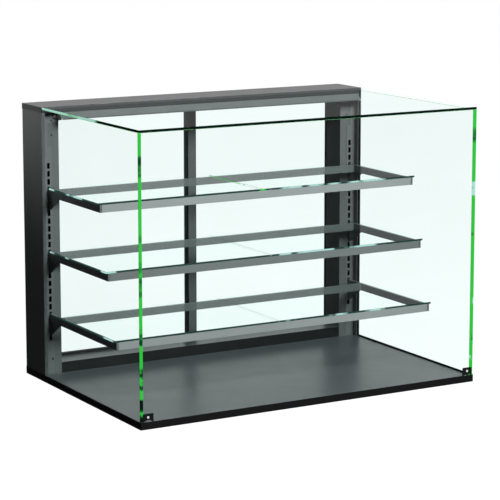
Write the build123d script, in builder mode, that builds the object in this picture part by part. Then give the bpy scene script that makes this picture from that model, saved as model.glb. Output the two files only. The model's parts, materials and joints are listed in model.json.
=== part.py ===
"""Counter-top bakery display case.

A glass hood stands on a thin folded steel base, in front of two slotted columns that rails tie
together at the top and the bottom. Three shelves hook into the columns, a light hangs under the
cap, and two glass doors slide behind the columns.

Units are millimetres. X runs to the right, +Y to the back (the doors' side) and Z up. The origin
is the middle of the footprint, on the surface that the case stands on.
"""

import os

from build123d import *

os.makedirs("parts", exist_ok=True)

# ---------------------------------------------------------------- overall size
CASE_WIDTH = 1200.0
CASE_DEPTH = 825.0
CASE_HEIGHT = 890.0
LEFT = -CASE_WIDTH / 2
RIGHT = CASE_WIDTH / 2
FRONT = -CASE_DEPTH / 2
BACK = CASE_DEPTH / 2
SHEET = 1.5                      # folded steel sheet
BEDDING = 0.2                    # gap between a glass pane and what holds it
ARRIS = 0.4                      # ground edge of a pane

# ---------------------------------------------------------------- base
PAD_HEIGHT = 2.0
PAD_RADIUS = 22.0
PAD_INSET = 60.0
SKIRT_BOTTOM = 1.0
DECK_TOP = 20.0
RIM_TOP = 24.0
RIM = 2.0                        # sheet of the base, thicker than the rest
UNDERPLATE = 1.2
TAB_INSET = 7.0                  # tabs of the rim that hold the front glass at its corners
TAB_WIDTH = 35.0
TAB_TOP = 49.5
TAB_CORNER = 3.0
TAB_ARCH_RADIUS = 20.0
TAB_ARCH_RISE = 5.6
TAB_SCREW_Z = 38.0
SCREW_HEAD = 4.0                 # radii of a corner screw and of the holes that it passes
SCREW_SHANK = 2.0
SCREW_GAP = 0.2
GLASS_HOLE = 3.5
CAP_NUT = 5.0
CAP_NUT_LENGTH = 6.0

# ---------------------------------------------------------------- columns
COLUMN_WIDTH = 69.5
COLUMN_FRONT = BACK - 150.0
COLUMN_BACK = BACK - 3.0
COLUMN_TOP = 872.0
CHEEK = 12.5                     # outer cheek, which stands forward of the slotted face
FACE = COLUMN_FRONT + 22.0       # front of the slotted strip
STRIP = 1.2
WALL = FACE + STRIP              # front of the wall that the strip lies on
WALL_SHEET = 2.0
JAMB = FACE + 87.0               # back of a column's box, where the door space starts
BACK_RETURN = 25.0
STRIP_WIDTH = 43.0               # right edge of the left strip, from the outer side of the case
STRIP_WAIST = 30.0
STRIP_SHOULDER = 757.0
STRIP_HEAD = 836.0
FIXINGS = ((35.0, 861.0, FACE), (44.6, 844.0, FACE), (44.6, 797.0, WALL), (38.0, 70.0, FACE))
FIXING_HEAD = 3.0
FIXING_HEAD_HEIGHT = 1.4
FIXING_SHANK = 1.7
FIXING_LENGTH = 9.0
FIXING_HOLE = 1.8

# ---------------------------------------------------------------- slots and shelves
SLOT_INSET = 32.0                # a slot's middle, from the outer side of the case
SLOT_WIDTH = 9.5
SLOT_HEIGHT = 18.4
SLOT_PITCH = 25.4
SLOT_FIRST = 698.8               # middle of the highest slot
SLOT_COUNT = 23
SHELF_RISE = 3.3                 # top of a shelf's rails above the middle of its upper slot
HOOK_STEP = 2                    # slots between a bracket's two hooks
HOOK_GAP = 0.5                   # between a bracket and the column
HOOK_SEAT = 0.3                  # between a hook and the lower end of its slot
HOOK_NECK = 7.5
HOOK_DEPTH = 4.0
HOOK_DROP = 8.0
RAIL_HEIGHT = 24.0
RAIL_DEPTH = 12.0
RAIL_WALL = 1.5
ARM_WIDTH = 8.0
ARM_INSET = 28.0
ARM_HOLE = 2.5
ARM_HOLE_BACK = 127.0            # from the back end of an arm to its hole
BLADE = 4.0                      # bracket plate at the back of an arm
BLADE_DROP = 67.5
BLADE_TOE = 12.0
BLADE_REACH = 79.0
BLADE_OVERLAP = 2.0
SHELF_GLASS = 6.0
SHELF_GLASS_INSET = 21.0
SHELF_GLASS_GAP = 1.6
# name: (slot of the upper hook, front of the shelf, back edge of its glass), from the case's front
SHELVES = {
    "upper": (3, 317.0, 671.0),
    "middle": (11, 265.5, 671.0),
    "lower": (19, 213.0, 623.0),
}

# ---------------------------------------------------------------- glass hood
GLASS = 8.0
GLASS_SET = RIM + BEDDING        # outer faces of the panes, inside the base's outline
GASKET = 1.0

# ---------------------------------------------------------------- rails and cap
RAIL_TOP = 55.0
COVER = 1.5
COVER_SEAMS = (-468.0, 131.0)
COVER_SEAM = 1.0
CAP_SHEET = 2.0
TOP_RAIL_FRONT = FACE - 1.5
TOP_RAIL_BOTTOM = 843.0

# ---------------------------------------------------------------- light
LIGHT_LEFT = LEFT + 64.0
LIGHT_RIGHT = RIGHT - CHEEK - 0.3
LIGHT_BACK = TOP_RAIL_FRONT
LIGHT_BOTTOM = 848.0
LIGHT_NOSE = COLUMN_FRONT - 15.0     # front of the lower edge
LIGHT_NOSE_TOP = 852.0
LIGHT_SHOULDER = COLUMN_FRONT + 4.0  # front of the top face
LIGHT_CAP = 2.0
LIGHT_WALL = 1.5
DIFFUSER = 2.0
DIFFUSER_LIP = 2.5
DIFFUSER_GAP = 0.4
BOARD_WIDTH = 11.0
BOARD = 1.6
LED_SIZE = 3.0
LED_HEIGHT = 0.8
LED_PITCH = 25.0
LED_COUNT = 44
GROMMET_INSET = 57.0
GROMMET_Z = 857.0
GROMMET_LIP = 10.0
GROMMET_LIP_LENGTH = 1.2
GROMMET_NECK = 9.0
GROMMET_BORE = 6.5
PLUG_RADIUS = 6.4
PLUG_RECESS = 0.6

# ---------------------------------------------------------------- doors
TRACK_LEFT = LEFT + 26.0
TRACK_WALL = 1.2
TRACK_BACK = COLUMN_BACK - 1.0
TRACK_FLOOR = 47.0
TRACK_HANG = 850.0               # lower edge of the top track's fins
LANE = (TRACK_BACK - JAMB - 3 * TRACK_WALL) / 2
DOOR_DEPTH = 15.0
DOOR_LEFT = LEFT + 32.0
DOOR_RISE = 0.3                  # above the floor of the track
DOOR_TOP = 861.8
OUTER_STILE = 25.0
MEETING_STILE = 30.0
SHOE_TOP = 61.5
TOP_SHOE_BOTTOM = 851.0
DOOR_GLASS = 5.0
DOOR_BITE = 6.0                  # depth that the door's glass sits in its frame
GROOVE_GAP = 0.2
PULL_WIDTH = 14.0
PULL_LENGTH = 160.0
PULL_DEPTH = 3.5
PULL_Z = 470.0

# ---------------------------------------------------------------- switch and cord bush
SWITCH_X = 500.0
BUSH_X = 440.0
SERVICE_Z = 34.5
SWITCH_FLANGE = (22.0, 15.0)
SWITCH_FLANGE_DEPTH = 1.2
SWITCH_BODY = (19.0, 12.6)
SWITCH_BODY_DEPTH = 16.0
SWITCH_WINDOW = (16.0, 9.6)
SWITCH_WINDOW_DEPTH = 11.0
ROCKER = (14.0, 8.8)
ROCKER_FRONT = 0.8               # middle of the rocker's face behind the flange's face
ROCKER_DEPTH = 6.0
ROCKER_PIVOT = 4.0               # pivot behind the flange's face
ROCKER_TILT = 8.0
ROCKER_BORE = 1.4
ROCKER_PIN = 1.0
ROCKER_DISH = 34.0
BUSH_FLANGE = 10.0
BUSH_FLANGE_DEPTH = 2.5
BUSH_NECK = 7.0
BUSH_NECK_GAP = 0.1
BUSH_BORE = 4.0
BUSH_LENGTH = 12.0

LOW = (Align.MIN, Align.MIN, Align.MIN)
ALONG_Y = (90, 0, 0)             # turns a cylinder's axis from Z to -Y


def save(piece, name):
    """Label a finished piece and write its STEP file."""
    piece.label = name
    export_step(piece, f"parts/{name}.step")


def mirrored(piece):
    """The same piece for the other side of the case."""
    with BuildPart() as twin:
        mirror(piece, about=Plane.YZ)
    return twin.part


def slab(low, high, mode=Mode.ADD):
    """Add or cut the box between two corners in the part that is being built."""
    size = [top - bottom for bottom, top in zip(low, high)]
    with Locations(low):
        Box(*size, align=LOW, mode=mode)


def rod(x, z, front, back, radius, mode=Mode.ADD):
    """Add or cut a cylinder along Y in the part that is being built."""
    with Locations(Location((x, (front + back) / 2, z), ALONG_Y)):
        Cylinder(radius, back - front, mode=mode)


def pane(low, high):
    """A glass pane with ground edges."""
    with BuildPart() as sheet:
        slab(low, high)
        chamfer(sheet.edges(), ARRIS)
    return sheet.part


# ================================================================ base
with BuildPart() as base_pan:
    with BuildSketch(Plane.XY.offset(SKIRT_BOTTOM)):
        RectangleRounded(CASE_WIDTH, CASE_DEPTH, RIM)
    extrude(amount=RIM_TOP - SKIRT_BOTTOM)
    slab((LEFT + RIM, FRONT + RIM, DECK_TOP), (RIGHT - RIM, BACK - RIM, RIM_TOP), Mode.SUBTRACT)
    slab(
        (LEFT + RIM, FRONT + RIM, SKIRT_BOTTOM),
        (RIGHT - RIM, BACK - RIM, DECK_TOP - RIM),
        Mode.SUBTRACT,
    )
    for side in (-1, 1):
        tab_x = side * (RIGHT - TAB_INSET - TAB_WIDTH / 2)
        with BuildSketch(Plane.XZ.offset(-FRONT - RIM)) as tab:
            with Locations((tab_x, (RIM_TOP - RIM + TAB_TOP) / 2)):
                Rectangle(TAB_WIDTH, TAB_TOP - RIM_TOP + RIM)
            fillet(tab.vertices().group_by(Axis.Y)[-1], TAB_CORNER)
            with Locations((tab_x, RIM_TOP + TAB_ARCH_RISE - TAB_ARCH_RADIUS)):
                Circle(TAB_ARCH_RADIUS, mode=Mode.SUBTRACT)
        extrude(amount=RIM)
        with Locations(Location((tab_x, FRONT + RIM / 2, TAB_SCREW_Z), ALONG_Y)):
            Cone(SCREW_SHANK + SCREW_GAP, SCREW_HEAD + SCREW_GAP, RIM, mode=Mode.SUBTRACT)
save(base_pan.part, "base_pan")

with BuildPart() as base_underplate:
    slab(
        (LEFT + RIM, FRONT + RIM, PAD_HEIGHT),
        (RIGHT - RIM, BACK - RIM, PAD_HEIGHT + UNDERPLATE),
    )
save(base_underplate.part, "base_underplate")

with BuildPart() as rubber_pads:
    with BuildSketch():
        with GridLocations(CASE_WIDTH / 2 - PAD_INSET, CASE_DEPTH - 2 * PAD_INSET, 3, 2):
            Circle(PAD_RADIUS)
    extrude(amount=PAD_HEIGHT)
save(rubber_pads.part, "rubber_pads")

# ================================================================ columns
INNER = LEFT + COLUMN_WIDTH      # inner side of the left column

with BuildPart() as column_skin:
    with BuildSketch(Plane.XY.offset(DECK_TOP)):
        with BuildLine():
            Polyline(
                (LEFT + BACK_RETURN, COLUMN_BACK),
                (LEFT, COLUMN_BACK),
                (LEFT, COLUMN_FRONT),
                (LEFT + CHEEK, COLUMN_FRONT),
                (LEFT + CHEEK, WALL),
                (LEFT + CHEEK - SHEET, WALL),
                (LEFT + CHEEK - SHEET, COLUMN_FRONT + SHEET),
                (LEFT + SHEET, COLUMN_FRONT + SHEET),
                (LEFT + SHEET, COLUMN_BACK - SHEET),
                (LEFT + BACK_RETURN, COLUMN_BACK - SHEET),
                close=True,
            )
        make_face()
    extrude(amount=COLUMN_TOP - DECK_TOP)
    fillet(column_skin.edges().filter_by(Axis.Z).group_by(Axis.X)[0], SHEET / 2)
    slab(
        (LEFT, COLUMN_FRONT, DECK_TOP),
        (LEFT + RIM, COLUMN_BACK, RIM_TOP),
        Mode.SUBTRACT,
    )
save(column_skin.part, "column_skin_left")
save(mirrored(column_skin.part), "column_skin_right")

slot_places = [
    (LEFT + SLOT_INSET, (FACE + WALL + WALL_SHEET) / 2, SLOT_FIRST - SLOT_PITCH * step)
    for step in range(SLOT_COUNT)
]

with BuildPart() as column_upright:
    with BuildSketch(Plane.XY.offset(DECK_TOP)):
        with BuildLine():
            Polyline(
                (LEFT + RIM, WALL),
                (INNER, WALL),
                (INNER, JAMB),
                (LEFT + RIM, JAMB),
                (LEFT + RIM, JAMB - WALL_SHEET),
                (INNER - WALL_SHEET, JAMB - WALL_SHEET),
                (INNER - WALL_SHEET, WALL + WALL_SHEET),
                (LEFT + RIM, WALL + WALL_SHEET),
                close=True,
            )
        make_face()
    extrude(amount=COLUMN_TOP - DECK_TOP)
    with Locations(*slot_places):
        Box(SLOT_WIDTH, 2 * WALL_SHEET + STRIP, SLOT_HEIGHT, mode=Mode.SUBTRACT)
    for inset, z, seat in FIXINGS:
        rod(LEFT + inset, z, WALL, WALL + WALL_SHEET, FIXING_HOLE, Mode.SUBTRACT)
save(mirrored(column_upright.part), "column_upright_right")

with BuildPart() as column_upright_left:
    add(column_upright.part)
    rod(LEFT + GROMMET_INSET, GROMMET_Z, WALL, WALL + WALL_SHEET, GROMMET_NECK, Mode.SUBTRACT)
save(column_upright_left.part, "column_upright_left")

with BuildPart() as slot_strip:
    with BuildSketch(Plane.XZ.offset(-WALL)):
        with BuildLine():
            Polyline(
                (LEFT + CHEEK, DECK_TOP),
                (LEFT + STRIP_WIDTH, DECK_TOP),
                (LEFT + STRIP_WIDTH, STRIP_SHOULDER),
                (LEFT + STRIP_WAIST, STRIP_SHOULDER),
                (LEFT + STRIP_WAIST, STRIP_HEAD),
                (INNER, STRIP_HEAD),
                (INNER, COLUMN_TOP),
                (LEFT + CHEEK, COLUMN_TOP),
                close=True,
            )
        make_face()
    extrude(amount=STRIP)
    with Locations(*slot_places):
        Box(SLOT_WIDTH, 2 * WALL_SHEET + STRIP, SLOT_HEIGHT, mode=Mode.SUBTRACT)
    for inset, z, seat in FIXINGS:
        rod(LEFT + inset, z, FACE, WALL, FIXING_HOLE, Mode.SUBTRACT)
save(mirrored(slot_strip.part), "slot_strip_right")

with BuildPart() as slot_strip_left:
    add(slot_strip.part)
    rod(LEFT + GROMMET_INSET, GROMMET_Z, FACE, WALL, GROMMET_NECK, Mode.SUBTRACT)
save(slot_strip_left.part, "slot_strip_left")

with BuildPart() as column_screws:
    for side in (-1, 1):
        for inset, z, seat in FIXINGS:
            screw_x = side * (RIGHT - inset)
            rod(screw_x, z, seat - FIXING_HEAD_HEIGHT, seat, FIXING_HEAD)
            rod(screw_x, z, seat, seat + FIXING_LENGTH, FIXING_SHANK)
save(column_screws.part, "column_screws")

# ================================================================ glass hood
HOOD_LEFT = LEFT + GLASS_SET
HOOD_FRONT = FRONT + GLASS_SET
HOOD_BACK = COLUMN_FRONT - GASKET - BEDDING
PANE_BOTTOM = DECK_TOP + BEDDING
PANE_TOP = CASE_HEIGHT - GLASS - BEDDING

with BuildPart() as glass_front:
    add(pane((HOOD_LEFT, HOOD_FRONT, PANE_BOTTOM), (-HOOD_LEFT, HOOD_FRONT + GLASS, PANE_TOP)))
    for side in (-1, 1):
        hole_x = side * (RIGHT - TAB_INSET - TAB_WIDTH / 2)
        rod(hole_x, TAB_SCREW_Z, HOOD_FRONT, HOOD_FRONT + GLASS, GLASS_HOLE, Mode.SUBTRACT)
save(glass_front.part, "glass_front")

glass_left = pane(
    (HOOD_LEFT, HOOD_FRONT + GLASS + BEDDING, PANE_BOTTOM),
    (HOOD_LEFT + GLASS, HOOD_BACK, PANE_TOP),
)
save(mirrored(glass_left), "glass_right")
save(glass_left, "glass_left")

glass_top = pane(
    (HOOD_LEFT, HOOD_FRONT, CASE_HEIGHT - GLASS),
    (-HOOD_LEFT, HOOD_BACK, CASE_HEIGHT),
)
save(glass_top, "glass_top")

with BuildPart() as hood_gaskets:
    slab(
        (HOOD_LEFT, COLUMN_FRONT - GASKET, CASE_HEIGHT - GLASS),
        (-HOOD_LEFT, COLUMN_FRONT, CASE_HEIGHT),
    )
    slab(
        (HOOD_LEFT, COLUMN_FRONT - GASKET, DECK_TOP),
        (HOOD_LEFT + GLASS, COLUMN_FRONT, CASE_HEIGHT - GLASS - BEDDING),
    )
    mirror(hood_gaskets.solids().sort_by(Axis.X)[0], about=Plane.YZ)
save(hood_gaskets.part, "hood_gaskets")

with BuildPart() as corner_screws:
    for side in (-1, 1):
        screw_x = side * (RIGHT - TAB_INSET - TAB_WIDTH / 2)
        with Locations(Location((screw_x, FRONT + RIM / 2, TAB_SCREW_Z), ALONG_Y)):
            Cone(SCREW_SHANK, SCREW_HEAD, RIM)
        rod(screw_x, TAB_SCREW_Z, FRONT + RIM, HOOD_FRONT + GLASS + CAP_NUT_LENGTH / 2, SCREW_SHANK)
save(corner_screws.part, "corner_screws")

NUT_FRONT = HOOD_FRONT + GLASS + BEDDING
with BuildPart() as corner_nuts:
    for side in (-1, 1):
        nut_x = side * (RIGHT - TAB_INSET - TAB_WIDTH / 2)
        rod(nut_x, TAB_SCREW_Z, NUT_FRONT, NUT_FRONT + CAP_NUT_LENGTH, CAP_NUT)
    fillet(corner_nuts.edges().filter_by(GeomType.CIRCLE).group_by(Axis.Y)[-1], CAP_NUT / 2)
    for side in (-1, 1):
        nut_x = side * (RIGHT - TAB_INSET - TAB_WIDTH / 2)
        rod(nut_x, TAB_SCREW_Z, NUT_FRONT, NUT_FRONT + CAP_NUT_LENGTH / 2, SCREW_SHANK, Mode.SUBTRACT)
save(corner_nuts.part, "corner_nuts")

# ================================================================ bottom rail and its covers
with BuildPart() as rear_rail:
    slab((INNER, FACE, RAIL_TOP - SHEET), (-INNER, JAMB, RAIL_TOP))
    slab((INNER, FACE + COVER, DECK_TOP), (-INNER, FACE + COVER + SHEET, RAIL_TOP - SHEET))
    slab((INNER, JAMB - SHEET, TRACK_FLOOR - SHEET), (-INNER, JAMB, RAIL_TOP - SHEET))
    slab((TRACK_LEFT, JAMB, TRACK_FLOOR - SHEET), (-TRACK_LEFT, TRACK_BACK, TRACK_FLOOR))
    slab((TRACK_LEFT, TRACK_BACK - SHEET, DECK_TOP), (-TRACK_LEFT, TRACK_BACK, TRACK_FLOOR))
    slab(
        (SWITCH_X - SWITCH_BODY[0] / 2, TRACK_BACK - SHEET, SERVICE_Z - SWITCH_BODY[1] / 2),
        (SWITCH_X + SWITCH_BODY[0] / 2, TRACK_BACK, SERVICE_Z + SWITCH_BODY[1] / 2),
        Mode.SUBTRACT,
    )
    rod(BUSH_X, SERVICE_Z, TRACK_BACK - SHEET, TRACK_BACK, BUSH_NECK, Mode.SUBTRACT)
save(rear_rail.part, "rear_rail")

with BuildPart() as rail_covers:
    cover_ends = [INNER, *COVER_SEAMS, -INNER]
    for start, end in zip(cover_ends, cover_ends[1:]):
        slab(
            (start + COVER_SEAM / 2, FACE, DECK_TOP),
            (end - COVER_SEAM / 2, FACE + COVER, RAIL_TOP - SHEET),
        )
save(rail_covers.part, "rail_covers")

# ================================================================ top rail and cap
with BuildPart() as top_rail:
    slab((INNER, TOP_RAIL_FRONT, TOP_RAIL_BOTTOM), (-INNER, JAMB, COLUMN_TOP))
    slab(
        (INNER, TOP_RAIL_FRONT + SHEET, TOP_RAIL_BOTTOM + SHEET),
        (-INNER, JAMB - SHEET, COLUMN_TOP),
        Mode.SUBTRACT,
    )
save(top_rail.part, "top_rail")

with BuildPart() as top_cap:
    slab((LEFT, COLUMN_FRONT, COLUMN_TOP), (RIGHT, BACK, CASE_HEIGHT))
    uprights = top_cap.edges().filter_by(Axis.Z)
    fillet(uprights, CAP_SHEET / 2)
    fillet(top_cap.faces().sort_by(Axis.Z)[-1].edges().sort_by(Axis.Y)[-1], CAP_SHEET / 2)
    slab(
        (LEFT + CAP_SHEET, COLUMN_FRONT + CAP_SHEET, COLUMN_TOP),
        (RIGHT - CAP_SHEET, BACK - CAP_SHEET, CASE_HEIGHT - CAP_SHEET),
        Mode.SUBTRACT,
    )
save(top_cap.part, "top_cap")

# ================================================================ light
light_outline = [
    (LIGHT_SHOULDER, COLUMN_TOP),
    (LIGHT_NOSE, LIGHT_NOSE_TOP),
    (LIGHT_NOSE, LIGHT_BOTTOM),
    (LIGHT_BACK, LIGHT_BOTTOM),
    (LIGHT_BACK, COLUMN_TOP),
]

with BuildPart() as light_housing:
    with BuildSketch(Plane.YZ.offset(LIGHT_LEFT + LIGHT_CAP)) as housing_section:
        with BuildLine():
            Polyline(*light_outline, close=True)
        make_face()
        offset(amount=-LIGHT_WALL, kind=Kind.INTERSECTION, mode=Mode.SUBTRACT)
        mouth = LIGHT_BACK - LIGHT_NOSE - 2 * (LIGHT_WALL + DIFFUSER_LIP)
        with Locations(((LIGHT_NOSE + LIGHT_BACK) / 2, LIGHT_BOTTOM)):
            Rectangle(mouth, 3 * LIGHT_WALL, mode=Mode.SUBTRACT)
    extrude(amount=LIGHT_RIGHT - LIGHT_LEFT - 2 * LIGHT_CAP)
save(light_housing.part, "light_housing")

with BuildPart() as light_end_caps:
    for cap_x in (LIGHT_LEFT, LIGHT_RIGHT - LIGHT_CAP):
        with BuildSketch(Plane.YZ.offset(cap_x)):
            with BuildLine():
                Polyline(*light_outline, close=True)
            make_face()
        extrude(amount=LIGHT_CAP)
save(light_end_caps.part, "light_end_caps")

with BuildPart() as light_diffuser:
    slab(
        (LIGHT_LEFT + LIGHT_CAP, LIGHT_NOSE + LIGHT_WALL + DIFFUSER_GAP, LIGHT_BOTTOM + LIGHT_WALL),
        (LIGHT_RIGHT - LIGHT_CAP, LIGHT_BACK - LIGHT_WALL - DIFFUSER_GAP,
         LIGHT_BOTTOM + LIGHT_WALL + DIFFUSER),
    )
save(light_diffuser.part, "light_diffuser")

BOARD_TOP = COLUMN_TOP - LIGHT_WALL
BOARD_BACK = LIGHT_BACK - LIGHT_WALL
with BuildPart() as led_board:
    slab(
        (LIGHT_LEFT + 3 * LIGHT_CAP, BOARD_BACK - BOARD_WIDTH, BOARD_TOP - BOARD),
        (LIGHT_RIGHT - 3 * LIGHT_CAP, BOARD_BACK, BOARD_TOP),
    )
    board_middle = ((LIGHT_LEFT + LIGHT_RIGHT) / 2, BOARD_BACK - BOARD_WIDTH / 2)
    with BuildSketch(Plane.XY.offset(BOARD_TOP - BOARD)):
        with Locations(board_middle):
            with GridLocations(LED_PITCH, LED_PITCH, LED_COUNT, 1):
                Rectangle(LED_SIZE, LED_SIZE)
    extrude(amount=-LED_HEIGHT)
save(led_board.part, "led_board")

with BuildPart() as cable_grommet:
    grommet_x = LEFT + GROMMET_INSET
    wall_back = WALL + WALL_SHEET
    rod(grommet_x, GROMMET_Z, FACE - GROMMET_LIP_LENGTH, FACE, GROMMET_LIP)
    rod(grommet_x, GROMMET_Z, FACE, wall_back, GROMMET_NECK)
    rod(grommet_x, GROMMET_Z, wall_back, wall_back + GROMMET_LIP_LENGTH, GROMMET_LIP)
    rod(
        grommet_x, GROMMET_Z, FACE - GROMMET_LIP_LENGTH, wall_back + GROMMET_LIP_LENGTH,
        GROMMET_BORE, Mode.SUBTRACT,
    )
save(cable_grommet.part, "cable_grommet")

with BuildPart() as grommet_plug:
    rod(grommet_x, GROMMET_Z, FACE - PLUG_RECESS, wall_back + PLUG_RECESS, PLUG_RADIUS)
    fillet(grommet_plug.edges().filter_by(GeomType.CIRCLE).group_by(Axis.Y)[0], 1.5)
save(grommet_plug.part, "grommet_plug")

# ================================================================ door tracks
fin_fronts = [JAMB + step * (LANE + TRACK_WALL) for step in range(3)]

with BuildPart() as track_bottom:
    slab((TRACK_LEFT, JAMB, TRACK_FLOOR), (-TRACK_LEFT, TRACK_BACK, TRACK_FLOOR + TRACK_WALL))
    for fin in fin_fronts:
        slab((TRACK_LEFT, fin, TRACK_FLOOR), (-TRACK_LEFT, fin + TRACK_WALL, RAIL_TOP))
save(track_bottom.part, "track_bottom")

with BuildPart() as track_top:
    slab((TRACK_LEFT, JAMB, COLUMN_TOP - TRACK_WALL), (-TRACK_LEFT, TRACK_BACK, COLUMN_TOP))
    for fin in fin_fronts:
        slab((TRACK_LEFT, fin, TRACK_HANG), (-TRACK_LEFT, fin + TRACK_WALL, COLUMN_TOP))
save(track_top.part, "track_top")

# ================================================================ doors
DOOR_BOTTOM = TRACK_FLOOR + TRACK_WALL + DOOR_RISE
GROOVE_LEFT = DOOR_LEFT + OUTER_STILE
GROOVE_RIGHT = -MEETING_STILE / 2


def door_pieces(lane_front):
    """The pieces of a door that closes against the left column, for the track lane given."""
    front = lane_front + (LANE - DOOR_DEPTH) / 2
    back = front + DOOR_DEPTH
    middle = (front + back) / 2
    groove_half = DOOR_GLASS / 2 + GROOVE_GAP
    groove_depth = DOOR_BITE + GROOVE_GAP

    def cut_groove():
        slab(
            (GROOVE_LEFT - groove_depth, middle - groove_half, SHOE_TOP - groove_depth),
            (GROOVE_RIGHT + groove_depth, middle + groove_half, TOP_SHOE_BOTTOM + groove_depth),
            Mode.SUBTRACT,
        )

    with BuildPart() as outer_stile:
        slab((DOOR_LEFT, front, DOOR_BOTTOM), (GROOVE_LEFT, back, DOOR_TOP))
        cut_groove()
        with BuildSketch(Plane.XZ.offset(-back)):
            with Locations((DOOR_LEFT + OUTER_STILE / 2, PULL_Z)):
                SlotOverall(PULL_LENGTH, PULL_WIDTH, rotation=90)
        extrude(amount=PULL_DEPTH, mode=Mode.SUBTRACT)
    with BuildPart() as meeting_stile:
        slab((GROOVE_RIGHT, front, DOOR_BOTTOM), (MEETING_STILE / 2, back, DOOR_TOP))
        cut_groove()
        fillet(meeting_stile.edges().filter_by(Axis.Z).group_by(Axis.X)[-1], 1.0)
    with BuildPart() as bottom_shoe:
        slab((GROOVE_LEFT, front, DOOR_BOTTOM), (GROOVE_RIGHT, back, SHOE_TOP))
        cut_groove()
    with BuildPart() as top_shoe:
        slab((GROOVE_LEFT, front, TOP_SHOE_BOTTOM), (GROOVE_RIGHT, back, DOOR_TOP))
        cut_groove()
    glass = pane(
        (GROOVE_LEFT - DOOR_BITE, middle - DOOR_GLASS / 2, SHOE_TOP - DOOR_BITE),
        (GROOVE_RIGHT + DOOR_BITE, middle + DOOR_GLASS / 2, TOP_SHOE_BOTTOM + DOOR_BITE),
    )
    return {
        "outer_stile": outer_stile.part,
        "meeting_stile": meeting_stile.part,
        "bottom_shoe": bottom_shoe.part,
        "top_shoe": top_shoe.part,
        "glass": glass,
    }


for piece_name, piece in door_pieces(fin_fronts[0] + TRACK_WALL).items():
    save(piece, f"door_left_{piece_name}")
for piece_name, piece in door_pieces(fin_fronts[1] + TRACK_WALL).items():
    save(mirrored(piece), f"door_right_{piece_name}")

# ================================================================ shelves
ARM_LEFT = LEFT + ARM_INSET
ARM_BACK = FACE - HOOK_GAP
HOOK_X = LEFT + SLOT_INSET
HOOK_FRONT = WALL + WALL_SHEET + HOOK_GAP

for shelf_name, (upper_slot, shelf_front, glass_back) in SHELVES.items():
    slot_z = SLOT_FIRST - SLOT_PITCH * upper_slot
    top = slot_z + SHELF_RISE
    bottom = top - RAIL_HEIGHT
    front = FRONT + shelf_front
    back = FRONT + glass_back

    with BuildPart() as arm:
        slab((ARM_LEFT, front, bottom), (ARM_LEFT + ARM_WIDTH, ARM_BACK, top))
        with BuildSketch(Plane.YZ.offset(HOOK_X - BLADE / 2)) as blade:
            heel = ARM_BACK - BLADE_REACH
            with BuildLine():
                Polyline(
                    (heel - BLADE_DROP / 2, bottom + BLADE_OVERLAP),
                    (heel - BLADE_DROP / 2, bottom),
                    (heel, bottom),
                    (ARM_BACK - BLADE_TOE, top - BLADE_DROP),
                    (ARM_BACK, top - BLADE_DROP),
                    (ARM_BACK, bottom + BLADE_OVERLAP),
                    close=True,
                )
            make_face()
            fillet(blade.vertices().sort_by_distance((heel, bottom)).first, 2 * BLADE)
            toe = blade.vertices().sort_by_distance((ARM_BACK - BLADE_TOE, top - BLADE_DROP)).first
            fillet(toe, BLADE_TOE)
        extrude(amount=BLADE)
        for hook_slot in (upper_slot, upper_slot + HOOK_STEP):
            seat = SLOT_FIRST - SLOT_PITCH * hook_slot - SLOT_HEIGHT / 2 + HOOK_SEAT
            slab(
                (HOOK_X - BLADE / 2, ARM_BACK - BLADE, seat),
                (HOOK_X + BLADE / 2, HOOK_FRONT + HOOK_DEPTH, seat + HOOK_NECK),
            )
            slab(
                (HOOK_X - BLADE / 2, HOOK_FRONT, seat - HOOK_DROP),
                (HOOK_X + BLADE / 2, HOOK_FRONT + HOOK_DEPTH, seat + HOOK_NECK),
            )
        with Locations(Location((ARM_LEFT, ARM_BACK - ARM_HOLE_BACK, (top + bottom) / 2), (0, 90, 0))):
            Cylinder(ARM_HOLE, 3 * ARM_WIDTH, mode=Mode.SUBTRACT)
    save(arm.part, f"shelf_{shelf_name}_arm_left")
    save(mirrored(arm.part), f"shelf_{shelf_name}_arm_right")

    for rail_name, rail_front in (("front_rail", front), ("rear_rail", back - RAIL_DEPTH)):
        rail_left = ARM_LEFT + ARM_WIDTH
        with BuildPart() as rail:
            slab((rail_left, rail_front, bottom), (-rail_left, rail_front + RAIL_DEPTH, top))
            slab(
                (rail_left, rail_front + RAIL_WALL, bottom + RAIL_WALL),
                (-rail_left, rail_front + RAIL_DEPTH - RAIL_WALL, top - RAIL_WALL),
                Mode.SUBTRACT,
            )
        save(rail.part, f"shelf_{shelf_name}_{rail_name}")

    shelf_glass = pane(
        (LEFT + SHELF_GLASS_INSET, front, top + BEDDING),
        (-SHELF_GLASS_GAP / 2, back, top + BEDDING + SHELF_GLASS),
    )
    save(mirrored(shelf_glass), f"shelf_{shelf_name}_glass_right")
    save(shelf_glass, f"shelf_{shelf_name}_glass_left")

# ================================================================ switch and cord bush
SWITCH_FACE = TRACK_BACK + SWITCH_FLANGE_DEPTH
PIVOT_Y = SWITCH_FACE - ROCKER_PIVOT


def service_box(size, front, back, mode=Mode.ADD):
    """Add or cut a box about the switch's middle, between two depths."""
    width, height = size
    slab(
        (SWITCH_X - width / 2, front, SERVICE_Z - height / 2),
        (SWITCH_X + width / 2, back, SERVICE_Z + height / 2),
        mode,
    )


with BuildPart() as switch_body:
    service_box(SWITCH_FLANGE, TRACK_BACK, SWITCH_FACE)
    service_box(SWITCH_BODY, TRACK_BACK - SWITCH_BODY_DEPTH, TRACK_BACK)
    service_box(SWITCH_WINDOW, SWITCH_FACE - SWITCH_WINDOW_DEPTH, SWITCH_FACE, Mode.SUBTRACT)
    with Locations((SWITCH_X, PIVOT_Y, SERVICE_Z)):
        Cylinder(ROCKER_PIN, SWITCH_BODY[1])
save(switch_body.part, "switch_body")

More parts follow.
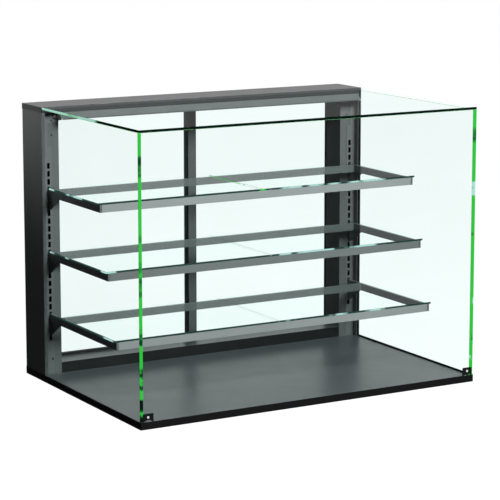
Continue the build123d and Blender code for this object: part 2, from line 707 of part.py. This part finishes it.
with BuildPart() as switch_rocker:
    rocker_face = SWITCH_FACE - ROCKER_FRONT
    service_box(ROCKER, rocker_face - ROCKER_DEPTH, rocker_face + ROCKER_FRONT)
    with Locations((SWITCH_X, rocker_face + ROCKER_DISH, SERVICE_Z)):
        Cylinder(ROCKER_DISH, 2 * ROCKER[1], mode=Mode.SUBTRACT)
    with Locations((SWITCH_X, PIVOT_Y, SERVICE_Z)):
        Cylinder(ROCKER_BORE, 2 * ROCKER[1], mode=Mode.SUBTRACT)
pivot = Axis((SWITCH_X, PIVOT_Y, SERVICE_Z), (0, 0, 1))
save(switch_rocker.part.rotate(pivot, ROCKER_TILT), "switch_rocker")

with BuildPart() as cord_bush:
    rod(BUSH_X, SERVICE_Z, TRACK_BACK, TRACK_BACK + BUSH_FLANGE_DEPTH, BUSH_FLANGE)
    rod(BUSH_X, SERVICE_Z, TRACK_BACK - BUSH_LENGTH, TRACK_BACK, BUSH_NECK - BUSH_NECK_GAP)
    fillet(cord_bush.edges().filter_by(GeomType.CIRCLE).group_by(Axis.Y)[-1], 1.0)
    rod(
        BUSH_X, SERVICE_Z, TRACK_BACK - BUSH_LENGTH, TRACK_BACK + BUSH_FLANGE_DEPTH,
        BUSH_BORE, Mode.SUBTRACT,
    )
save(cord_bush.part, "cord_bush")
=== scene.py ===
"""Looks of the bakery display case: materials, floor, light and camera over the CAD frame."""

import json
import math

import bpy
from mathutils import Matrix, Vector

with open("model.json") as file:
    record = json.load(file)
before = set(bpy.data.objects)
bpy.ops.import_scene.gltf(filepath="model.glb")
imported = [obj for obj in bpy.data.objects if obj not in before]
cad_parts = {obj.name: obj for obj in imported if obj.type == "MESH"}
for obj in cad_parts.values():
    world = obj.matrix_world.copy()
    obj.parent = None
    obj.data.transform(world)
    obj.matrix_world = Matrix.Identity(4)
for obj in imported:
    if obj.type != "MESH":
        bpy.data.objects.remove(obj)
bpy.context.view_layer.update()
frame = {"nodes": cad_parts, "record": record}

# ---------------------------------------------------------------- material building blocks
NO_STRETCH = (1.0, 1.0, 1.0)
WORN_WIDTH = 0.0006
WORN_LIGHTER = 1.6
WORN_TURNS = (0.75, 0.99)
RELIEF = 0.0002
PEEL_SCALE = 1400.0
GRAIN_SCALE = 900.0
DRAWING_STRETCH = (0.4, 12.0, 12.0)

GLASS_IOR = 1.5
EDGE_TURN = 0.3
FACE_TURN = 0.8
FACING = 0.5
SEAM_REACH = 0.001
# These three place the painted glow beside the seam of two panes: how far it reaches, and from where
# and how much of the seam shows it.
PAINTED_GLOW_REACH = 0.012
SEAM_PAINTED_GLOW_FROM = 0.5
SEAM_PAINTED_GLOW_SHARE = 0.35
RAGGED_STRETCH = (20.0, 20.0, 32.0)
RAGGED_HEIGHTS = (0.1, 0.35)
RAGGED_HEAD_SHARE = 0.2
SIDEWAYS_DRIFT = 0.12


class Maker:
    """A node material with one Principled shader, and helpers that add detail to it."""

    def __init__(self, name, colour, roughness, metallic=0.0):
        self.material = bpy.data.materials.new(name)
        self.material.use_nodes = True
        self.tree = self.material.node_tree
        self.tree.nodes.clear()
        self.out = self.add("ShaderNodeOutputMaterial")
        self.shader = self.add("ShaderNodeBsdfPrincipled")
        self.link(self.shader.outputs[0], self.out.inputs["Surface"])
        self.put("Base Color", (*colour, 1.0))
        self.put("Roughness", roughness)
        self.put("Metallic", metallic)
        self.place = self.add("ShaderNodeTexCoord").outputs["Object"]

    def add(self, kind, **values):
        node = self.tree.nodes.new(kind)
        for name, value in values.items():
            setattr(node, name, value)
        return node

    def link(self, source, target):
        self.tree.links.new(source, target)

    def put(self, socket, value):
        self.shader.inputs[socket].default_value = value

    def maths(self, operation, *inputs):
        """A math node over numbers and sockets."""
        node = self.add("ShaderNodeMath", operation=operation)
        for socket, value in zip(node.inputs, inputs):
            if isinstance(value, float):
                socket.default_value = value
            else:
                self.link(value, socket)
        return node.outputs[0]

    def split_up(self, vector):
        """The X, Y and Z of a vector."""
        node = self.add("ShaderNodeSeparateXYZ")
        self.link(vector, node.inputs[0])
        return node.outputs

    def noise(self, scale, detail=3.0, stretch=NO_STRETCH):
        """A noise value over the object, stretched along its axes."""
        mapping = self.add("ShaderNodeMapping")
        mapping.inputs["Scale"].default_value = stretch
        self.link(self.place, mapping.inputs["Vector"])
        node = self.add("ShaderNodeTexNoise")
        node.inputs["Scale"].default_value = scale
        node.inputs["Detail"].default_value = detail
        self.link(mapping.outputs[0], node.inputs["Vector"])
        return node.outputs[0]

    def remap(self, value, low, high, start=0.3, end=0.7):
        """A value mapped from start..end to low..high."""
        node = self.add("ShaderNodeMapRange")
        node.inputs["From Min"].default_value = start
        node.inputs["From Max"].default_value = end
        node.inputs["To Min"].default_value = low
        node.inputs["To Max"].default_value = high
        self.link(value, node.inputs["Value"])
        return node.outputs[0]

    def blend(self, factor, first, second):
        """Two colours mixed by a value; each colour is a tuple or a socket.

        A mix node's colours are its inputs 6 and 7 and its output 2.
        """
        node = self.add("ShaderNodeMix", data_type="RGBA")
        self.link(factor, node.inputs["Factor"])
        for socket, colour in ((node.inputs[6], first), (node.inputs[7], second)):
            if isinstance(colour, tuple):
                socket.default_value = (*colour, 1.0)
            else:
                self.link(colour, socket)
        return node.outputs[2]

    def bump(self, value, strength):
        """A fine relief from a value."""
        node = self.add("ShaderNodeBump")
        node.inputs["Strength"].default_value = strength
        node.inputs["Distance"].default_value = RELIEF
        self.link(value, node.inputs["Height"])
        self.link(node.outputs[0], self.shader.inputs["Normal"])

    def edges(self):
        """1 on sharp edges and 0 on flat faces."""
        bevel = self.add("ShaderNodeBevel", samples=4)
        bevel.inputs["Radius"].default_value = WORN_WIDTH
        shape = self.add("ShaderNodeNewGeometry")
        dot = self.add("ShaderNodeVectorMath", operation="DOT_PRODUCT")
        self.link(bevel.outputs[0], dot.inputs[0])
        self.link(shape.outputs["True Normal"], dot.inputs[1])
        return self.remap(dot.outputs["Value"], 1.0, 0.0, *WORN_TURNS)


def powder_coat(name, colour, roughness, front=None, painted_side_shading=None, specular=0.5):
    """Powder-coated sheet: fine orange peel, slight cloudiness, edges rubbed a little lighter.

    front is the colour of the faces that turn to the front, painted shade where it differs from the
    rest, and upright that of all faces but the ones that turn up, painted light and shade set apart
    from the coat's colour on the top.
    """
    paint = Maker(name, colour, roughness)
    paint.put("Specular IOR Level", specular)
    lighter = tuple(min(1.0, channel * WORN_LIGHTER + 0.01) for channel in colour)
    cloudy = tuple(channel * 1.1 for channel in colour)
    clouds = paint.remap(paint.noise(5.0, 4.0), 0.0, 1.0)
    coat = paint.blend(clouds, colour, cloudy)
    coat = paint.blend(paint.edges(), coat, lighter)
    normal = paint.split_up(paint.add("ShaderNodeTexCoord").outputs["Normal"])
    # Painted shade on the front faces, and painted light and shade on all faces but the top ones.
    if front:
        coat = paint.blend(paint.maths("LESS_THAN", normal["Y"], -FACING), coat, front)
    if painted_side_shading:
        coat = paint.blend(paint.maths("LESS_THAN", normal["Z"], FACING), coat, painted_side_shading)
    paint.link(coat, paint.shader.inputs["Base Color"])
    sheen = paint.remap(paint.noise(14.0, 5.0), roughness - 0.015, roughness + 0.015)
    paint.link(sheen, paint.shader.inputs["Roughness"])
    paint.bump(paint.noise(PEEL_SCALE, 2.0), 0.12)
    return paint.material


def anodised(name, colour, roughness, metallic):
    """Anodised aluminium with faint drawing lines along its length."""
    metal = Maker(name, colour, roughness, metallic)
    lines = metal.noise(60.0, 4.0, DRAWING_STRETCH)
    lighter = tuple(channel * 1.12 for channel in colour)
    tone = metal.blend(metal.remap(lines, 0.0, 1.0), colour, lighter)
    metal.link(tone, metal.shader.inputs["Base Color"])
    sheen = metal.remap(metal.noise(20.0, 4.0), roughness - 0.05, roughness + 0.07)
    metal.link(sheen, metal.shader.inputs["Roughness"])
    metal.bump(lines, 0.06)
    return metal.material


def mixed(glass, factor, first, second):
    """Two shaders mixed by a value."""
    node = glass.add("ShaderNodeMixShader")
    glass.link(factor, node.inputs[0])
    glass.link(first, node.inputs[1])
    glass.link(second, node.inputs[2])
    return node.outputs[0]


def along_axis(glass, axis):
    """How far a surface turns to an axis: 1 on a pane's faces, 0.7 on arrises, 0 on edges."""
    shape = glass.add("ShaderNodeTexCoord")
    dot = glass.add("ShaderNodeVectorMath", operation="DOT_PRODUCT")
    glass.link(shape.outputs["Normal"], dot.inputs[0])
    dot.inputs[1].default_value = axis
    return glass.maths("ABSOLUTE", dot.outputs["Value"])


def see_through(glass):
    """A clear shader with a slight tint, uneven as if wiped."""
    clear = glass.add("ShaderNodeBsdfTransparent")
    wiped = glass.remap(glass.noise(5.0, 5.0), 0.0, 1.0)
    glass.link(glass.blend(wiped, FACE_TINT, WIPED_TINT), clear.inputs["Color"])
    return clear.outputs[0]


def mirroring(glass, clear, mirror_share):
    """The clear shader, mirroring at a glance."""
    mirror = glass.add("ShaderNodeBsdfAnisotropic")
    mirror.inputs["Color"].default_value = (1.0, 1.0, 1.0, 1.0)
    mirror.inputs["Roughness"].default_value = 0.0
    fresnel = glass.add("ShaderNodeFresnel")
    fresnel.inputs["IOR"].default_value = GLASS_IOR
    share = glass.remap(fresnel.outputs[0], 0.0, mirror_share, 0.0, 1.0)
    return mixed(glass, share, clear, mirror.outputs[0])


def edge_pattern(glass, place, stretch, drift, ragged):
    """A noise value along a pane's edges, which picks the colour of their painted glow and
    highlights.
    """
    along = glass.noise(1.0, 3.0, stretch)
    if drift:
        along = glass.maths("MULTIPLY_ADD", place["Y"], drift, along)
    if ragged:
        fine = glass.maths("SUBTRACT", glass.noise(1.0, 3.0, RAGGED_STRETCH), 0.5)
        depth = glass.remap(place["Z"], ragged, ragged * RAGGED_HEAD_SHARE, *RAGGED_HEIGHTS)
        along = glass.maths("MULTIPLY_ADD", fine, depth, along)
        along = glass.maths("MULTIPLY_ADD", place["X"], SIDEWAYS_DRIFT, along)
    return along


def ramp_colour(glass, value, stops):
    """The colour at a value, between stops of a place and a colour."""
    ramp = glass.add("ShaderNodeValToRGB")
    elements = ramp.color_ramp.elements
    for element, (place, colour) in zip((elements[0], elements[1]), (stops[0], stops[-1])):
        element.position = place
        element.color = (*colour, 1.0)
    for place, colour in stops[1:-1]:
        elements.new(place).color = (*colour, 1.0)
    glass.link(value, ramp.inputs["Fac"])
    return ramp.outputs["Color"]


def pane_glass(
    name, axis, mirror_share, stretch, stops, drift=0.0, ragged=0.0, painted_glow_past_x=0.0, butted=False,
    seam=False, painted_seam_glow=None, top_painted_glow=2.2,
):
    """Clear float glass: faces that mirror at a glance, and edges that glow with painted light.

    axis runs through the pane, and mirror_share scales its reflections. The edges' glow is emission,
    painted glow and painted highlights in place of the light that polished edges carry. stops are
    its colours along a noise value, which is stretched along the edge's length. drift shifts that
    value from front to back, and ragged breaks it up, most near the foot of the pane. Beyond the x
    given as glued, on either side, the faces take the same painted glow as the edges. butted makes
    the rear edge clear, and seam the joint of two panels at the middle of the case. painted_seam_glow
    is a colour of painted glow that shows at that joint. Edges that face up get top_painted_glow
    times as much painted glow.
    """
    glass = Maker(name, BLACK_GREEN, 0.08)
    place = glass.split_up(glass.place)
    normal = glass.split_up(glass.add("ShaderNodeTexCoord").outputs["Normal"])
    inside = glass.add("ShaderNodeNewGeometry").outputs["Backfacing"]
    clear = see_through(glass)
    face = mixed(glass, inside, mirroring(glass, clear, mirror_share), clear)
    edge = mixed(glass, inside, glass.shader.outputs[0], clear)

    # The edges' colour is painted glow and painted highlight, given as emission.
    along = edge_pattern(glass, place, stretch, drift, ragged)
    painted_edge_glow = ramp_colour(glass, along, stops)
    # A painted glow colour at the seam of two panes.
    if painted_seam_glow:
        beside_seam = glass.maths("COMPARE", place["X"], 0.0, PAINTED_GLOW_REACH)
        painted_edge_glow = glass.blend(beside_seam, painted_edge_glow, painted_seam_glow)
    glass.link(painted_edge_glow, glass.shader.inputs["Emission Color"])

    turned = along_axis(glass, axis)
    on_face = glass.maths("GREATER_THAN", turned, FACE_TURN)
    on_edge = glass.maths("LESS_THAN", turned, EDGE_TURN)
    on_top = glass.maths("GREATER_THAN", normal["Z"], FACING)
    not_under = glass.maths("GREATER_THAN", normal["Z"], -FACING)
    not_behind = glass.maths("LESS_THAN", normal["Y"], FACING)
    # Edges that face neither down nor back get the painted glow.
    painted_glow_mask = glass.maths("MULTIPLY", on_edge, glass.maths("MULTIPLY", not_under, not_behind))
    # Past the given x, the faces take the painted glow as well.
    if painted_glow_past_x:
        beyond = glass.maths("GREATER_THAN", glass.maths("ABSOLUTE", place["X"]), painted_glow_past_x)
        painted_glow_mask = glass.maths("MAXIMUM", painted_glow_mask, beyond)
        on_face = glass.maths("SUBTRACT", on_face, beyond)
    # Edges that face up get more painted glow.
    brightness = glass.maths("MULTIPLY_ADD", on_top, top_painted_glow - 1.0, 1.0)
    glass.link(glass.maths("MULTIPLY", painted_glow_mask, brightness), glass.shader.inputs["Emission Strength"])

    if butted:
        behind = glass.maths("GREATER_THAN", normal["Y"], FACING)
        on_face = glass.maths("MAXIMUM", on_face, glass.maths("MULTIPLY", on_edge, behind))
    if seam:
        in_seam = glass.maths("COMPARE", place["X"], 0.0, SEAM_REACH)
        closed = glass.maths("MULTIPLY", on_edge, in_seam)
        # Part of the seam keeps the painted glow.
        if painted_seam_glow:
            coloured = glass.maths("GREATER_THAN", along, SEAM_PAINTED_GLOW_FROM)
            kept = glass.maths("MULTIPLY_ADD", coloured, -SEAM_PAINTED_GLOW_SHARE, 1.0)
            closed = glass.maths("MULTIPLY", closed, kept)
        on_face = glass.maths("MAXIMUM", on_face, closed)
    glass.link(mixed(glass, on_face, edge, face), glass.out.inputs["Surface"])
    return glass.material


def clear_seal(name):
    """Clear silicone: half see-through, with a soft grey body."""
    seal = Maker(name, (0.16, 0.17, 0.17), 0.45)
    seal.link(seal.remap(seal.noise(40.0, 3.0), 0.12, 0.2), seal.shader.inputs["Alpha"])
    return seal.material


def moulded(name, colour, roughness):
    """Moulded plastic or rubber with a fine matt grain."""
    plastic = Maker(name, colour, roughness)
    lighter = tuple(min(1.0, channel * 1.25 + 0.004) for channel in colour)
    tone = plastic.blend(plastic.remap(plastic.noise(30.0, 4.0), 0.0, 1.0), colour, lighter)
    plastic.link(tone, plastic.shader.inputs["Base Color"])
    sheen = plastic.remap(plastic.noise(60.0, 3.0), roughness - 0.06, roughness + 0.06)
    plastic.link(sheen, plastic.shader.inputs["Roughness"])
    plastic.bump(plastic.noise(GRAIN_SCALE, 2.0), 0.15)
    return plastic.material


# ---------------------------------------------------------------- materials of the record's slots
FACE_TINT = (0.974, 0.998, 0.993)
WIPED_TINT = (0.968, 0.992, 0.986)
# BLACK_GREEN is the edges' own dark colour; it and the greens, teal and mint below are also the
# colours of the painted glow and painted highlights on the glass edges, given as emission.
BLACK_GREEN = (0.001, 0.004, 0.003)
DEEP_GREEN = (0.004, 0.09, 0.015)
VIVID_GREEN = (0.03, 0.55, 0.05)
DARK_TEAL = (0.02, 0.055, 0.05)
MINT = (0.45, 0.75, 0.7)
LEAF_GREEN = (0.06, 0.3, 0.09)
SEA_GREEN = (0.34, 0.64, 0.52)

ACROSS = (1.0, 0.0, 0.0)
DEPTH = (0.0, 1.0, 0.0)
UP = (0.0, 0.0, 1.0)
# Stops of painted glow and painted highlight along the edges: the greens are painted glow, MINT and
# SEA_GREEN painted highlights.
UPRIGHT_EDGE = [
    (0.3, BLACK_GREEN), (0.38, DEEP_GREEN), (0.44, VIVID_GREEN), (0.68, VIVID_GREEN), (0.72, MINT),
]
TOP_EDGE = [(0.36, BLACK_GREEN), (0.42, BLACK_GREEN), (0.45, LEAF_GREEN), (0.5, SEA_GREEN)]
SHELF_EDGE = [(0.3, DARK_TEAL), (0.54, DARK_TEAL), (0.58, MINT)]
UPRIGHT = {"mirror_share": 0.4, "stretch": (1.0, 1.0, 9.0), "stops": UPRIGHT_EDGE, "ragged": 1.0}
LEVEL = {"mirror_share": 0.15, "stretch": (7.0, 7.0, 1.0), "stops": SHELF_EDGE, "drift": 0.2}

MATERIALS = {
    # The pan's side faces are painted near black and its top about ten times lighter: painted shade
    # and painted sheen on one coat.
    "base_steel": powder_coat(
        "base_steel", (0.043, 0.048, 0.052), 0.36, painted_side_shading=(0.004, 0.0042, 0.0045),
    ),
    "column_steel": powder_coat("column_steel", (0.08, 0.085, 0.085), 0.4),
    "shelf_steel": powder_coat("shelf_steel", (0.085, 0.09, 0.09), 0.4),
    "light_metal": anodised("light_metal", (0.062, 0.069, 0.07), 0.45, 0.3),
    "door_metal": anodised("door_metal", (0.07, 0.076, 0.076), 0.45, 0.3),
    "bright_steel": anodised("bright_steel", (0.75, 0.75, 0.75), 0.3, 0.4),
    "dark_screw": moulded("dark_screw", (0.003, 0.003, 0.003), 0.6),
    "black_rubber": moulded("black_rubber", (0.016, 0.016, 0.017), 0.6),
    "door_shoe": moulded("door_shoe", (0.008, 0.008, 0.008), 0.5),
    "opal_plastic": moulded("opal_plastic", (0.8, 0.8, 0.78), 0.45),
    "circuit_board": moulded("circuit_board", (0.7, 0.72, 0.66), 0.5),
    "grey_plastic": moulded("grey_plastic", (0.12, 0.12, 0.125), 0.5),
    "switch_plastic": moulded("switch_plastic", (0.07, 0.07, 0.072), 0.22),
    "shelf_glass": pane_glass("shelf_glass", UP, **LEVEL, seam=True),
    "door_glass": pane_glass("door_glass", DEPTH, 0.4, (4.0, 4.0, 4.0), SHELF_EDGE),
    "clear_seal": clear_seal("clear_seal"),
}
SLOT_STRIP = powder_coat("slot_strip_steel", (0.095, 0.1, 0.1), 0.4)
# The front rails are the same coat as the arms and rear rails in shelf_steel, painted over twice as
# light: painted light where the front light falls.
FRONT_RAIL_PAINTED_LIGHT = powder_coat("front_rail_painted_light", (0.2, 0.21, 0.21), 0.4)
# The upper shelf panes carry a painted green glow at their seam.
UPPER_SHELF_PANE = pane_glass("shelf_glass_upper", UP, **LEVEL, seam=True, painted_seam_glow=VIVID_GREEN)
NODE_MATERIALS = {
    "slot_strip_left": SLOT_STRIP,
    "slot_strip_right": SLOT_STRIP,
    # The cap's front lip is painted far darker than the rest of the cap: painted shade.
    "top_cap": powder_coat(
        "cap_steel_painted_shade", (0.045, 0.045, 0.046), 0.42, front=(0.012, 0.015, 0.015), specular=0.35,
    ),
    # The end caps' side faces are painted light grey against their dark top: painted light on faces
    # that get little light.
    "light_end_caps": powder_coat(
        "end_cap_painted_light", (0.07, 0.077, 0.078), 0.45, painted_side_shading=(0.6, 0.62, 0.63),
    ),
    # The front pane's faces take the painted glow past x = 0.591 on either side, and the right pane's
    # edges that face up take less painted glow.
    "glass_front": pane_glass("hood_glass_front", DEPTH, **UPRIGHT, painted_glow_past_x=0.591),
    "glass_left": pane_glass("hood_glass_left", ACROSS, **UPRIGHT, butted=True),
    "glass_right": pane_glass("hood_glass_right", ACROSS, **UPRIGHT, top_painted_glow=0.6),
    "glass_top": pane_glass(
        "hood_glass_top", UP, 0.06, (3.0, 3.0, 1.0), TOP_EDGE, drift=1.2, butted=True,
    ),
    "shelf_upper_glass_left": UPPER_SHELF_PANE,
    "shelf_upper_glass_right": UPPER_SHELF_PANE,
    "shelf_upper_front_rail": FRONT_RAIL_PAINTED_LIGHT,
    # The middle front rail is painted darker than the upper and lower ones: painted shade.
    "shelf_middle_front_rail": powder_coat("middle_rail_painted_shade", (0.115, 0.125, 0.125), 0.4),
    "shelf_lower_front_rail": FRONT_RAIL_PAINTED_LIGHT,
}

slot_of = {row["node"]: row["material_slot"] for row in frame["record"]["subparts"]}
for name, node in frame["nodes"].items():
    material = NODE_MATERIALS.get(name) or MATERIALS[slot_of[name]]
    if node.material_slots:
        for holder in node.material_slots:
            holder.material = material
    else:
        node.data.materials.append(material)

# ---------------------------------------------------------------- floor and light
scene = bpy.context.scene
scene.view_settings.view_transform = "Standard"
scene.cycles.transparent_max_bounces = 64

FLOOR_REACH = 60.0
FLOOR_GLOW = 0.99
floor_mesh = bpy.data.meshes.new("floor")
floor_corners = [
    (side * FLOOR_REACH, end * FLOOR_REACH, 0.0) for side, end in ((-1, -1), (1, -1), (1, 1), (-1, 1))
]
floor_mesh.from_pydata(floor_corners, [], [(0, 1, 2, 3)])
floor = bpy.data.objects.new("floor", floor_mesh)
bpy.context.collection.objects.link(floor)
floor_paint = Maker("floor", (0.06, 0.06, 0.06), 0.9)
floor_paint.put("Specular IOR Level", 0.0)
floor_paint.put("Emission Color", (1.0, 1.0, 1.0, 1.0))
floor_paint.put("Emission Strength", FLOOR_GLOW)
floor_mesh.materials.append(floor_paint.material)
floor.visible_diffuse = False
floor.visible_glossy = False

world = bpy.data.worlds.new("studio")
world.use_nodes = True
sky_tree = world.node_tree
sky = sky_tree.nodes["Background"]
BRIGHT_SIDE = (0.8, 0.6, 0.0)
SKY_TURN = {"From Min": -0.2, "From Max": 0.8, "To Min": 0.24, "To Max": 1.4}


def sky_node(kind, operation, *inputs):
    """A math node of the world, with its inputs as numbers or sockets."""
    node = sky_tree.nodes.new(kind)
    node.operation = operation
    for socket, value in zip(node.inputs, inputs):
        if isinstance(value, bpy.types.NodeSocket):
            sky_tree.links.new(value, socket)
        else:
            socket.default_value = value
    return node


# The sky is white at the horizon and dark overhead, and brighter on one side.
direction = sky_tree.nodes.new("ShaderNodeTexCoord").outputs["Generated"]
height = sky_tree.nodes.new("ShaderNodeSeparateXYZ")
sky_tree.links.new(direction, height.inputs[0])
sky_ramp = sky_tree.nodes.new("ShaderNodeValToRGB")
sky_tree.links.new(height.outputs["Z"], sky_ramp.inputs["Fac"])
sky_greys = sky_ramp.color_ramp.elements
sky_greys[0].position = 0.0
sky_greys[0].color = (1.0, 1.0, 1.0, 1.0)
sky_greys[1].position = 0.6
sky_greys[1].color = (0.1, 0.1, 0.1, 1.0)
sky_greys.new(0.2).color = (0.95, 0.95, 0.95, 1.0)
sky_greys.new(0.38).color = (0.2, 0.2, 0.2, 1.0)
facing = sky_node("ShaderNodeVectorMath", "DOT_PRODUCT", direction, BRIGHT_SIDE).outputs["Value"]
turn = sky_tree.nodes.new("ShaderNodeMapRange")
sky_tree.links.new(facing, turn.inputs["Value"])
for socket, value in SKY_TURN.items():
    turn.inputs[socket].default_value = value
above = sky_node("ShaderNodeMath", "GREATER_THAN", height.outputs["Z"], 0.0).outputs[0]
strength = sky_node("ShaderNodeMath", "MULTIPLY", above, turn.outputs[0]).outputs[0]
sky_tree.links.new(sky_ramp.outputs["Color"], sky.inputs["Color"])
sky_tree.links.new(strength, sky.inputs["Strength"])
scene.world = world


def softbox(name, place, target, size, power, spread=180.0):
    """A rectangular soft light at a place, turned to a target."""
    data = bpy.data.lights.new(name, "AREA")
    data.shape = "RECTANGLE"
    data.size, data.size_y = size
    data.energy = power
    data.spread = math.radians(spread)
    light = bpy.data.objects.new(name, data)
    light.location = place
    aim = Vector(target) - Vector(place)
    light.rotation_mode = "QUATERNION"
    light.rotation_quaternion = aim.to_track_quat("-Z", "Y")
    light.visible_camera = False
    bpy.context.collection.objects.link(light)


softbox("key", (0.9, -3.6, 4.0), (0.0, 0.0, 0.4), (3.0, 2.0), 620.0)
softbox("rim", (-1.25, 0.5, 1.02), (-0.6, 0.35, 0.9), (0.25, 0.25), 0.53, 62.0)

# ---------------------------------------------------------------- camera
CAMERA_PLACE = (-3.3169, -5.7659, 1.6439)
CAMERA_AZIMUTH = 29.97
CAMERA_PITCH = 9.06
CAMERA_LENS = 151.3
CAMERA_SHIFT = -0.1
SENSOR_WIDTH = 36.0
camera_data = bpy.data.cameras.new("camera")
camera_data.sensor_width = SENSOR_WIDTH
camera_data.lens = CAMERA_LENS
camera_data.shift_y = CAMERA_SHIFT
camera = bpy.data.objects.new("camera", camera_data)
camera.location = CAMERA_PLACE
camera.rotation_euler = (math.radians(90.0 - CAMERA_PITCH), 0.0, math.radians(-CAMERA_AZIMUTH))
bpy.context.collection.objects.link(camera)
scene.camera = camera
